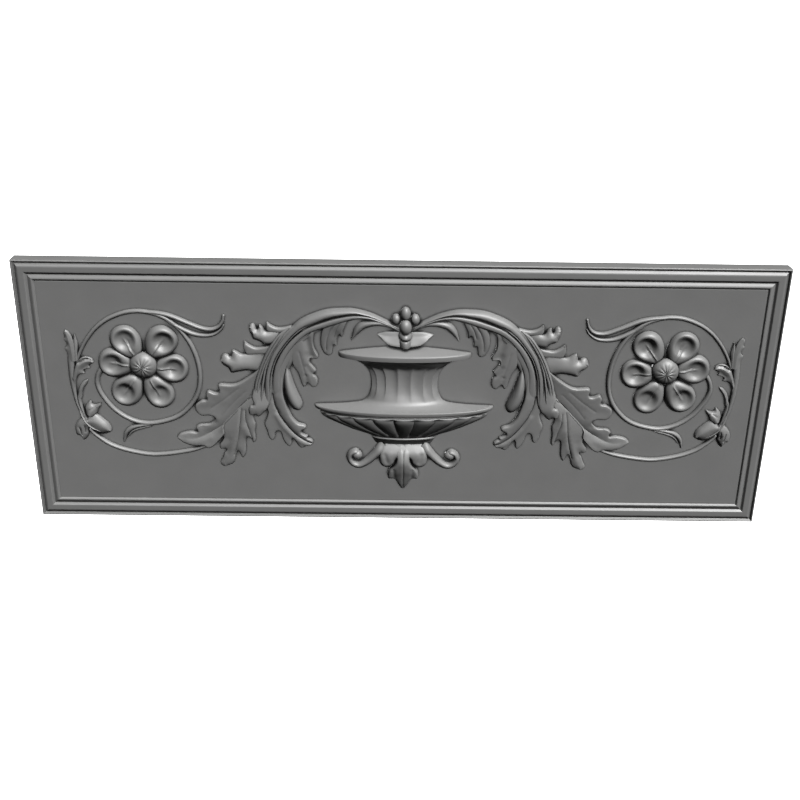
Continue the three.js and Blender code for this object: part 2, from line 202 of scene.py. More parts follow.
# Crowned strip along a curve, with a flat start and a round end: half width and crown
# follow the share of the length, and the section is a superellipse, of power 2 for an
# oval and more for a squarer one. Grooves run along it, each given by its place across
# from -1 to 1, its depth and width as shares, and the share of the length where it starts.
def strip(points, widths, crowns, scale=1.0, square=(2.0,), grooves=(),
          step=stripNet["step"], across=stripNet["across"]):
    length = curveBy(points, [0.0])[1]
    endShare = min(max(widths[-1], 1.0) / length, stripNet["longestEnd"])
    body = np.linspace(0, 1 - endShare, max(int(length / step), stripNet["fewestRows"]))
    turn = 1 - endShare * (1 - np.sin(np.linspace(0, math.pi / 2, stripNet["endRows"])[1:-1]))
    share = np.concatenate([body, turn, [1 - endShare * stripNet["endGap"]]])
    path = curveBy(points, share)[0]
    run = directionsOf(path)
    closing = np.sqrt(np.clip(1 - (np.clip(share - 1 + endShare, 0, None) / endShare) ** 2, 0, 1))
    half = smoothChange(widths, share) * np.maximum(closing, stripNet["endWidth"])
    lowered = np.maximum(closing, stripNet["endCrown"]) ** stripNet["endPower"]
    crown = smoothChange(crowns, share) * scale * lowered
    aside = -np.cos(np.linspace(0, math.pi, across + 1))
    for spot, _, wide, _ in grooves:
        aside = np.union1d(aside, spot + wide * np.array(stripNet["grooveRows"]))
    power = change(square, share)[:, None]
    profile = np.clip(1 - np.abs(aside) ** power, 0, 1) ** (1 / power)
    for spot, cut, wide, start in grooves:
        shown = ramp(start, start + stripNet["grooveFade"], share) * ramp(1, stripNet["grooveEnd"], share)
        profile = profile * (1 - cut * shown[:, None] * np.exp(-((aside - spot) / wide) ** 2))
    out = path[:, :1] - run[:, 1:] * aside * half[:, None]
    level = path[:, 1:] + run[:, :1] * aside * half[:, None]
    addShell(sectionLoop(out, level, crown[:, None] * profile))


# Distance from each point to a line of straight pieces, the share of the line's length
# at the nearest spot, and the side: positive on the left of the line's run
def nearLine(points, line):
    start, run = line[:-1], np.diff(line, axis=0)
    size = np.maximum(np.einsum("ij,ij->i", run, run), 1e-9)
    offset = points[:, None] - start
    part = np.clip(np.einsum("ijk,jk->ij", offset, run) / size, 0, 1)
    gap = offset - part[..., None] * run
    squared = np.einsum("ijk,ijk->ij", gap, gap)
    best = squared.argmin(axis=1)
    each = np.arange(len(points))
    lengths = np.sqrt(size)
    before = np.concatenate([[0], np.cumsum(lengths)[:-1]])
    share = (before[best] + part[each, best] * lengths[best]) / lengths.sum()
    side = np.sign(run[best, 0] * offset[each, best, 1] - run[best, 1] * offset[each, best, 0])
    return np.sqrt(squared[each, best]), share, side


# Number of the nearest other point, by the smallest sum of squares, worked out in parts
# to spare memory
def nearest(points, others):
    pointsPerPart = 2000
    parts = np.array_split(points, 1 + len(points) // pointsPerPart)
    return np.concatenate([((part[:, None] - others) ** 2).sum(axis=2).argmin(axis=1) for part in parts])


# Inside is where a level line to the right crosses the loop an odd number of times
def isInside(points, loop):
    start, end = loop, np.roll(loop, -1, axis=0)
    out, level = points[:, :1], points[:, 1:]
    crosses = (start[:, 1] > level) != (end[:, 1] > level)
    rise = np.where(end[:, 1] == start[:, 1], 1e-9, end[:, 1] - start[:, 1])
    where = start[:, 0] + (level - start[:, 1]) * (end[:, 0] - start[:, 0]) / rise
    return (crosses & (out < where)).sum(axis=1) % 2 == 1


# Triangle net over flat points, which keeps the given edges and only what they enclose
def netOver(points, edges, merge):
    enclosedOnly = 1    # the way of working in which nothing outside the edges is filled
    spots = [Vector(spot) for spot in points.tolist()]
    corners, _, triangles, _, _, _ = delaunay_2d_cdt(spots, edges.tolist(), [], enclosedOnly, merge)
    return np.array([tuple(corner) for corner in corners]), np.array(triangles)


# Twice the area of each triangle by its cross product, negative where it runs clockwise
def twiceArea(flat, triangles):
    a, b, c = (flat[triangles[:, k]] for k in range(3))
    return (b[:, 0] - a[:, 0]) * (c[:, 1] - a[:, 1]) - (b[:, 1] - a[:, 1]) * (c[:, 0] - a[:, 0])


# A flat net of triangles raised to its heights. From its rim, where an edge has only one
# triangle, walls run down into the board, and a floor closes them.
def addSheet(flat, triangles, height, mirrored):
    triangles = np.where(twiceArea(flat, triangles)[:, None] < 0, triangles[:, ::-1], triangles)
    edges = triangles[:, [0, 1, 1, 2, 2, 0]].reshape(-1, 2)
    key = np.sort(edges, axis=1) @ np.array([len(flat), 1])
    _, position, count = np.unique(key, return_index=True, return_counts=True)
    rim = edges[position[count == 1]]
    foot, rimFoot = np.unique(rim, return_inverse=True)
    rimFoot = rimFoot.reshape(rim.shape)
    top = place(flat[:, 0], flat[:, 1], height)
    root = place(flat[foot, 0], flat[foot, 1], np.full(len(foot), -panel["sink"]))
    walls = np.stack([rim[:, 1], rim[:, 0], len(flat) + rimFoot[:, 0], len(flat) + rimFoot[:, 1]], axis=1)
    faces = [(triangles, 3), (walls, 4)]
    bottom, floor = netOver(flat[foot], rimFoot, leafNet["floorMerge"])
    if len(bottom) == len(foot) and len(floor):
        facesUp = twiceArea(flat[foot], floor)[:, None] > 0
        faces.append((np.where(facesUp, floor[:, ::-1], floor) + len(flat), 3))
    else:
        print("open floor", len(bottom), len(foot))
    addFaces(np.concatenate([top, root]), faces, mirrored)


# Points of a leaf's net: its border, rows set in from the border, rows along and beside
# its folds, and a grid of even triangles between them
def leafPoints(border, rounding, folds, grid):
    run = directionsOf(border)
    area = np.sum(border[:, 0] * np.roll(border[:, 1], -1) - border[:, 1] * np.roll(border[:, 0], -1))
    inward = np.stack([-run[:, 1], run[:, 0]], axis=1) * np.sign(area)
    rows = []
    for share in leafNet["rings"]:
        ring = border + inward * (rounding * share)[:, None]
        far = nearLine(ring, border)[0]
        rows.append(ring[isInside(ring, border) & (far > leafNet["ringKept"] * rounding * share)])
    for line in folds:
        run = directionsOf(line)
        beside = np.stack([-run[:, 1], run[:, 0]], axis=1) * leafNet["fanGap"]
        fan = np.concatenate([line - beside, line, line + beside])
        rows.append(fan[isInside(fan, border) & (nearLine(fan, border)[0] > leafNet["fanKept"])])
    rows = np.concatenate(rows)
    low, high = border.min(axis=0), border.max(axis=0)
    levels = np.arange(low[1], high[1], grid * leafNet["rowShare"])
    out, level = np.meshgrid(np.arange(low[0], high[0], grid), levels)
    out = out + grid / 2 * (np.arange(len(levels)) % 2)[:, None]
    filling = np.stack([out.ravel(), level.ravel()], axis=1)
    filling = filling[isInside(filling, border)]
    filling = filling[nearLine(filling, border)[0] > leafNet["sideGap"] * grid]
    gap = np.linalg.norm(filling - rows[nearest(filling, rows)], axis=1)
    return np.concatenate([border, rows, filling[gap > leafNet["rowGap"] * grid]])


# Share of the leaf's full height: along the spine it is rise, and it changes toward
# either side by a power of the part of the way from the spine to that side. Past the
# fade share of its length the spine changes to the level of the sides.
def leafShare(flat, middle, first, second, across, rise, fold, fade):
    far, share, side = nearLine(flat, middle)
    onOuter = side == np.sign(nearLine(first[:-1], middle)[2].sum())
    rest = np.where(onOuter, nearLine(flat, first)[0], nearLine(flat, second)[0])
    toward = far / np.maximum(far + rest, 1e-6)
    sideShare = np.where(onOuter, across[0], across[2])
    sideLevel = (across[0] + across[2]) / 2
    fadeEnd = min(fade + leafNet["fadeOver"], 1.001)    # a fade of 1 starts at the tip and changes nothing
    faded = ramp(fade, fadeEnd, share)
    middleShare = across[1] + (sideLevel - across[1]) * faded
    return smoothChange(rise, share) * (middleShare + (sideShare - middleShare) * toward ** fold)


# Leaf between an outer and an inner side, both drawn from base to tip. Its height is
# scale, times the share of leafShare, times a wall that rounds up near the sides by a
# quarter circle. Creases are sharp grooves, which grow shallower as a falling
# exponential, and hollows are round ones, as a bell curve; a negative depth raises a
# ridge instead.
def leaf(spine, outer, inner, scale=10.0, across=(0.8, 0.8, 0.8), rise=(1.0, 1.0), edge=(2.0, 2.0),
         fold=1.0, wall=0.3, fade=1.0, creases=(), hollows=(),
         grid=leafNet["grid"], step=leafNet["step"], mirrored=True):
    middle = evenly(spine, step)
    first = evenly(list(outer) + [spine[-1]], step)
    second = evenly(list(inner) + [spine[-1]], step)
    border = np.concatenate([first, second[-2::-1]])
    rounding = np.where(np.arange(len(border)) < len(first), edge[0], edge[1])
    folds = [evenly(line, step) for line, _, _ in creases]
    if fold <= 1:
        folds.append(middle)
    loop = np.arange(len(border))
    sides = np.stack([loop, np.roll(loop, -1)], axis=1)
    flat, triangles = netOver(leafPoints(border, rounding, folds, grid), sides, leafNet["merge"])
    fromSides = nearLine(flat, border)[0]
    share = leafShare(flat, middle, first, second, across, rise, fold, fade)
    height = scale * share * (wall + (1 - wall) * roundUp(fromSides, rounding[nearest(flat, border)]))
    for line, (_, width, depth) in zip(folds, creases):
        height -= depth * np.exp(-nearLine(flat, line)[0] / width)
    for line, width, depth in hollows:
        far = nearLine(flat, evenly(line, step))[0]
        height -= depth * np.exp(-(far / width) ** 2) * ramp(0, leafNet["hollowEdge"], fromSides)
    addSheet(flat, triangles, np.maximum(height, leafNet["lowest"]), mirrored)


# Half of a flattened turning: the profile gives half width, level and the depth at the
# middle, cut(level, angle) thins it for flutes and ribs, less toward its two sides, and
# square(level) is the power of its section, 2 for an oval and more for a fuller one
def turning(parts, columns, cut=None, square=None):
    profile = np.vstack([curveAt(part, np.linspace(0, 1, count)) for part, count in parts])
    angle = np.linspace(0, math.pi, columns)
    half, level, depth = profile[:, :1], profile[:, 1:2], profile[:, 2:]
    kept = 1 - cut(level, angle) * np.sin(angle) ** 0.5 if cut else 1
    power = square(level) if square else 2
    out = half * kept * np.cos(angle)
    height = depth * kept * np.clip(1 - np.abs(np.cos(angle)) ** power, 0, 1) ** (1 / power)
    addShell(sectionLoop(out, level * np.ones_like(angle), height), mirrored=False)


# Egg that stands off the ground: a ball with three radii, whose crown has fine rays that
# fade toward its sides
def egg(out, level, radii, centreHeight, rays=0, rayDepth=0.0, mirrored=True,
        rows=eggNet["rows"], columns=eggNet["columns"]):
    highest = math.pi / 2 * eggNet["poleShare"]
    lift = np.linspace(-highest, highest, rows)[:, None]
    angle = np.linspace(0, 2 * math.pi, columns, endpoint=False)
    flat = np.cos(lift)
    height = centreHeight + radii[2] * np.sin(lift) * np.ones_like(angle)
    if rays:
        shown = ramp(eggNet["rayEnd"], eggNet["rayFull"], flat)
        shown = shown * ramp(eggNet["rayLow"], eggNet["rayHigh"], np.sin(lift))
        height = height - rayDepth * (1 - np.abs(np.cos(rays * angle / 2))) * shown
    height = np.maximum(height, -panel["sink"])
    points = place(out + radii[0] * flat * np.cos(angle), level + radii[1] * flat * np.sin(angle), height)
    addShell(points, mirrored)


# Board


# The board's loops are rectangles, which step in from its edge and off the wall by the
# border profile, so that its corners are mitred; back and ground close it. Gives the
# number of its points, which come first in the mesh.
def makeBoard():
    profile = np.array(panel["border"])
    fine = curveAt(profile, np.linspace(0, 1, panel["borderRows"] * len(profile)))
    corner = np.array([[-1, -1], [1, -1], [1, 1], [-1, 1]])
    size = np.array([panel["length"], panel["height"]]) / 2
    inset = np.concatenate([[0.0], fine[:, 0]])
    depth = np.concatenate([[0.0], ground + panel["groundDrop"] * fine[:, 1]])
    spots = corner * (size - inset[:, None, None])
    points = np.stack([spots[..., 0], -depth[:, None] * np.ones(len(corner)), spots[..., 1]], axis=-1)
    addShell(points * metre, mirrored=False)
    return points.shape[0] * points.shape[1]


boardPoints = makeBoard()
print("board", boardPoints, "points")

# Acanthus

# Leaves: the spine and both sides run from base to tip. As shares of height: across is the
# level at the outer side, spine and inner side, rise the level from base to tip, and wall
# the part that stands at the very edge. Edge is the rounding of the outer and the inner
# side, fold the power of the slope between spine and sides, and fade the share of the
# spine where its fold ends. Creases and hollows have a line, a width and a depth.
acanthus = {
    "height": 10.0,
    "leaves": [
        {   # first lobe, high on the outside, with its two outer teeth
            "spine": [[150, 86], [170, 87], [187, 87], [198, 92], [203.8, 99]],
            "outer": [[150, 94], [170, 97], [181, 94], [186, 99.5], [190.5, 102.8], [191.8, 99], [193.5, 96],
                      [195.5, 101], [199, 104.2], [202.5, 102.5]],
            "inner": [[165, 77], [183, 74.5], [191, 79.5], [199.5, 83], [201.2, 88], [203.8, 94]],
            "across": [0.45, 0.95, 1.05], "rise": [0.5, 0.6, 0.95, 1.05, 0.85], "edge": [1.8, 7.0],
            "fold": 1.4, "wall": 0.12,
        },
        {   # its inner tooth
            "spine": [[148, 95], [165, 95], [175, 98], [180.5, 106.5]],
            "outer": [[148, 102], [158, 99.3], [166, 98.8], [173, 101]],
            "inner": [[150, 92], [165, 92], [176, 92.5], [180.6, 95], [181.5, 101]],
            "across": [0.62, 0.6, 0.6], "edge": [3.2, 1.2], "fold": 2,
        },
        {   # second lobe with its two outer teeth
            "spine": [[178, 50], [205, 47], [225, 48], [243.4, 52]],
            "outer": [[178, 68], [193, 63], [209, 61.5], [216, 61.5], [221, 64.5], [226.5, 66.8], [228.2, 62],
                      [229.8, 57.5], [233, 60], [238, 61], [242, 57.5]],
            "inner": [[180, 34], [200, 36.5], [210, 37.5], [220, 36], [228, 34.5], [231.5, 36.5],
                      [233.5, 41.5], [239, 44.5], [242.5, 48.5]],
            "across": [0.42, 0.95, 1.05], "rise": [0.5, 0.6, 0.95, 1.1, 0.85], "edge": [1.8, 8.0],
            "fold": 1.4, "wall": 0.12,
        },
        {   # its inner tooth
            "spine": [[176, 68], [195, 66], [205, 69.5], [210.6, 79.5]],
            "outer": [[176, 76], [184, 72.6], [195, 70.6], [203, 73.6]],
            "inner": [[180, 62], [195, 61.5], [205, 60.5], [209, 62.5], [212, 70]],
            "across": [0.62, 0.6, 0.6], "edge": [3.2, 1.2], "fold": 2,
        },
        {   # hanging lobe under the outer leaf
            "spine": [[192, 8], [214, -30], [228, -62], [237, -88], [245, -105]],
            "outer": [[204, 3], [226, -19], [244, -38], [250, -50], [245, -59], [246.5, -65], [250, -70],
                      [251, -75], [248, -79], [243, -77.5], [241.5, -80], [245, -85], [247.5, -92],
                      [251, -99], [249, -103.5]],
            "inner": [[198, -10], [203, -28], [200.5, -41], [201.7, -52], [201, -63], [204, -68.5],
                      [208, -62], [212, -60], [214.5, -66], [215, -80], [217, -88], [220.5, -92],
                      [223.5, -85], [226, -81.5], [229, -88], [231.5, -97], [236, -102]],
            "across": [0.5, 0.82, 0.5], "rise": [1.0, 0.95, 0.9, 0.8, 0.7], "edge": [1.6, 2.0], "fold": 1.2,
            "creases": [[[[219, -18], [221.5, -38], [224, -58], [228, -76], [231, -87]], 1.0, 1.2],
                        [[[213.5, -20], [213, -35], [209, -50], [206, -63]], 1.0, 1.2]],
            "hollows": [[[[237, -64], [240, -84]], 4.0, 0.6], [[[211, -60], [216, -45]], 4.5, -0.7]],
        },
        {   # outer leaf, folded along its spine
            "spine": [[186, 34], [206, 1], [225, -20], [245, -41], [265, -54.5], [285, -62], [308, -60.5]],
            "outer": [[190, 45], [205, 31], [220, 21], [230, 18], [245, 18.5], [248.5, 15], [247.5, 7],
                      [253, 5.5], [261.5, 8.5], [265.5, 2.5], [264.5, -4.5], [272, -6], [280, -12],
                      [280, -21], [273, -28], [262, -28], [254.5, -32], [262, -40], [276, -41.5],
                      [281.5, -46], [279.5, -52.5], [290, -52], [302, -55]],
            "inner": [[186, 18], [196, 8], [206, -1.8], [215, -10.5], [225, -22.3], [235, -33.3],
                      [241.5, -40.5], [243, -47], [242.5, -54.5], [248, -62], [257, -72], [265, -76.5],
                      [273, -73], [284, -73.5], [295, -70.5], [303, -66]],
            "across": [0.8, 0.48, 1.0], "rise": [0.95, 0.95, 0.9, 0.85, 0.75], "edge": [2.4, 2.4],
            "fold": 0.8, "fade": 0.68,
            "creases": [[[[222, 12], [240, -3], [258, -16]], 0.8, 0.35],
                        [[[212, 8], [230, -10], [243, -26]], 0.8, 0.3]],
            "hollows": [[[[255, -37], [272, -42]], 3.5, 1.2],
                        [[[262, -60], [278, -66], [292, -67]], 4.5, -0.8]],
        },
        {   # small curl between the leaves
            "spine": [[190, 26], [194, 8], [199, -11], [204.5, -26]],
            "outer": [[196, 26], [201, 14], [203.6, 5], [204, -0.5], [201.5, -8.5], [206, -10.5],
                      [208.8, -16], [208, -23]],
            "inner": [[180, 26], [180, 8], [180, -8], [184, -17], [188, -21], [192, -26], [196.5, -28],
                      [200.5, -25.5]],
            "across": [0.95, 1.0, 0.75], "rise": [0.7, 0.85, 1.05, 1.25, 1.15], "edge": [2.6, 2.2],
            "fold": 1.5,
        },
        {   # inner leaf, folded along its midrib
            "spine": [[176, 40], [176, 5], [174.5, -5], [172, -15], [167, -26], [161, -36.5], [153.5, -46.5],
                      [146, -55], [139, -61], [131, -65.8], [122.5, -68]],
            "outer": [[190, 20], [187, -5], [184.5, -17], [183.3, -22], [185, -30], [188, -37], [188.3, -42],
                      [185.5, -49], [184, -57], [181.5, -62], [178, -64.5], [175, -60], [173.7, -53],
                      [170, -49.5], [166.5, -53], [164, -62], [160, -69.5], [155, -73.5], [152.5, -69],
                      [152, -63.5], [150.5, -60.8], [147.5, -65], [143, -72], [138.5, -75.5],
                      [133, -72.8], [127, -72]],
            "inner": [[161, 40], [161, 15], [160, 2], [157, -10], [154, -20], [150, -29], [143, -37],
                      [135, -39.5], [131.6, -42.5], [133, -46.5], [138, -49], [138.5, -52], [134, -55],
                      [129.8, -56.5], [131, -59.5], [127, -60.8], [123.5, -63.5]],
            "across": [0.62, 0.66, 0.8], "rise": [1.0, 1.0, 0.95, 0.9, 0.85], "edge": [2.0, 2.6], "fold": 0.7,
            "creases": [[[[176, 5], [172, -15], [161, -36.5], [146, -55], [131, -65.8],
                          [124, -68.3]], 1.1, 1.8]],
            "hollows": [[[[171, -26], [164, -40], [154.5, -52], [144, -62], [134, -68]], 3.2, -1.1],
                        [[[166, 0], [162, -18], [152, -36], [142, -47]], 6.0, -0.8]],
        },
        {   # ground of the body, which fills between the reeds
            "spine": [[96, 114], [125, 103], [145, 86], [160, 68], [171, 48], [177, 28], [180, 8],
                      [178, -10]],
            "outer": [[104, 121], [130, 112], [148, 101], [160, 91], [171, 78], [181, 62], [188, 47],
                      [194, 31], [198, 14], [196, 0], [190, -10]],
            "inner": [[86, 108], [104, 99.5], [118, 92], [130, 82], [140, 70], [150, 55], [157, 40],
                      [160, 20], [161, 0], [163, -10]],
            "across": [0.8, 0.82, 0.72], "rise": [0.7, 1.0, 1.0, 1.0, 0.7], "edge": [1.5, 1.5], "fold": 2,
            "hollows": [[[[137, 94], [147, 86], [155, 77], [162, 67], [167, 57], [171, 47],
                          [174, 32], [175.5, 15], [176.5, -10]], 2.2, 4.0]],
        },
        {   # scalloped leaf toward the axis, with the hook beside it
            "spine": [[141, 84], [136, 62], [130, 40], [122, 14.5]],
            "outer": [[152, 70], [149, 50], [146.5, 43.5], [142, 36], [138.5, 26], [136.5, 18.5], [133.5, 15],
                      [131, 18], [129.5, 21.8], [127, 19]],
            "inner": [[116, 100], [118.5, 92], [120.3, 84], [120.3, 76], [118.5, 69], [115.5, 63.5],
                      [114, 59.5], [115.8, 55.8], [120, 56.2], [124.5, 56.5], [125.5, 51], [122.5, 47],
                      [118, 41.5], [117, 38.8], [121, 34.3], [118.5, 32], [116, 28], [115.3, 22],
                      [117.5, 16.5]],
            "across": [0.66, 0.76, 0.7], "rise": [1.12, 1.06, 0.95, 0.85], "edge": [1.8, 2.0], "fold": 1.5,
            "creases": [[[[139, 66], [135, 49], [131, 32]], 0.8, 0.5]],
            "hollows": [[[[129, 84], [126, 70], [122, 58]], 4.5, 2.0],
                        [[[118, 43], [124, 52], [128, 62]], 3.5, 1.0],
                        [[[119, 35.5], [124, 37], [129, 46]], 2.5, 1.0],
                        [[[129.5, 21], [131, 32]], 2.0, 0.9]],
        },
        {   # small leaf by the top of the urn
            "spine": [[90, 112], [100, 98], [104, 80], [100.5, 60]],
            "outer": [[100, 110], [108, 98], [111, 86], [110.8, 74], [107.5, 65], [104, 61]],
            "inner": [[72, 116], [77, 105], [81, 95.5], [82.5, 86], [86.5, 90], [89.5, 82.5], [90, 73.5],
                      [94, 75.5], [95.5, 69], [96.5, 62.5]],
            "across": [0.55, 0.68, 0.62], "rise": [1.4, 1.05, 0.85, 0.65], "edge": [1.8, 1.8], "fold": 1.5,
            "creases": [[[[90, 107], [95, 100], [100, 91], [103, 80], [103.5, 69]], 0.8, 0.9],
                        [[[85, 106], [90, 97], [93, 87]], 0.8, 0.7]],
        },
    ],
    # strips: points, half widths, crowns as shares of height, powers of the section from
    # start to end, grooves
    "strips": [
        # top band from the urn, narrowing into the middle reed
        [[[5, 98], [25, 108], [45, 117.2], [65, 121.8], [85, 120.4], [105, 116.4], [129.5, 106],
          [144, 95.5], [156, 82], [166, 68], [173, 55], [179, 36], [181, 18], [182, 0], [184, -13]],
         [2, 2.6, 2.8, 3.2, 5, 6.8, 7.5, 7.4, 6.2, 5.6, 5.4, 5.2, 5.6, 5.6, 4],
         [0.7, 1, 1.2, 1.25, 1.2, 1.05, 1, 1, 0.8], [2, 2, 2, 2.2, 2.8, 3, 3], [[-0.35, 0.16, 0.12, 0.45]]],
        # outer reed
        [[[152, 98], [161, 90], [170, 78], [179, 62.5], [186, 47], [191, 33], [195, 19], [197, 5],
          [199.5, -8]],
         [1.5, 4, 4.8, 4.6, 4.6, 4.8, 4.9, 4.6, 2.6], [0.8, 1.0, 1.02, 1.0, 0.95, 0.9], [3],
         [[0.1, 0.1, 0.14, 0.05]]],
        [[[176, 62], [183, 44], [187, 26], [189.5, 8], [191, -8], [194, -18]], [1, 2, 2.4, 2.4, 2.4, 1.2],
         [0.95, 1.08, 1.08, 1.05, 0.95], [2.5]],
        # second strand from the urn, turning into the inner leaf
        [[[5, 96], [25, 106.5], [45, 114], [64, 115.5], [85, 111], [105, 104.5], [125, 97], [139, 87],
          [149.5, 76], [158, 64], [164, 52], [168, 40], [170, 22], [169, 4], [166, -12]],
         [1.6, 2.2, 2.6, 3, 4.4, 5.4, 5.2, 4.8, 4.6, 4.8, 4.9, 5.2, 6.2, 6.8, 5],
         [0.7, 1, 1.1, 1.05, 0.98, 0.95, 0.95, 0.9, 0.8, 0.6], [2, 2.4, 3, 3.6, 3.6, 3.6]],
        [[[120, 95], [128, 87], [138.5, 75], [148, 61], [154.5, 48], [158, 34]],
         [1.5, 5.5, 8, 7, 5.5, 2.5], [0.5, 0.68, 0.72, 0.7, 0.5], [3]],
        # crescent leaf over the urn
        [[[8, 96], [25, 104.5], [40, 106.6], [54, 103.5], [63, 95.5], [71, 82]],
         [1.6, 3.2, 4.4, 5.6, 4.6, 0.8], [0.6, 0.8, 0.9, 0.8, 0.5], [2]],
        # finger leaf
        [[[156, 44], [155.5, 30], [153.5, 15], [150, 2], [145.5, -8], [139.5, -17.5]],
         [2.5, 5.4, 7.4, 9, 9.2, 7], [0.6, 1.0, 1.3, 1.4, 1.35, 1.1], [1.9]],
    ],
}


# Each leaf and strip of the list, on both sides of the axis
def makeAcanthus():
    for row in acanthus["leaves"]:
        leaf(scale=acanthus["height"], **row)
    for points, widths, crowns, *section in acanthus["strips"]:
        strip(points, widths, crowns, acanthus["height"], *section)


makeAcanthus()
print("acanthus", len(shells), "shells")

# Scrolls, vine and bud

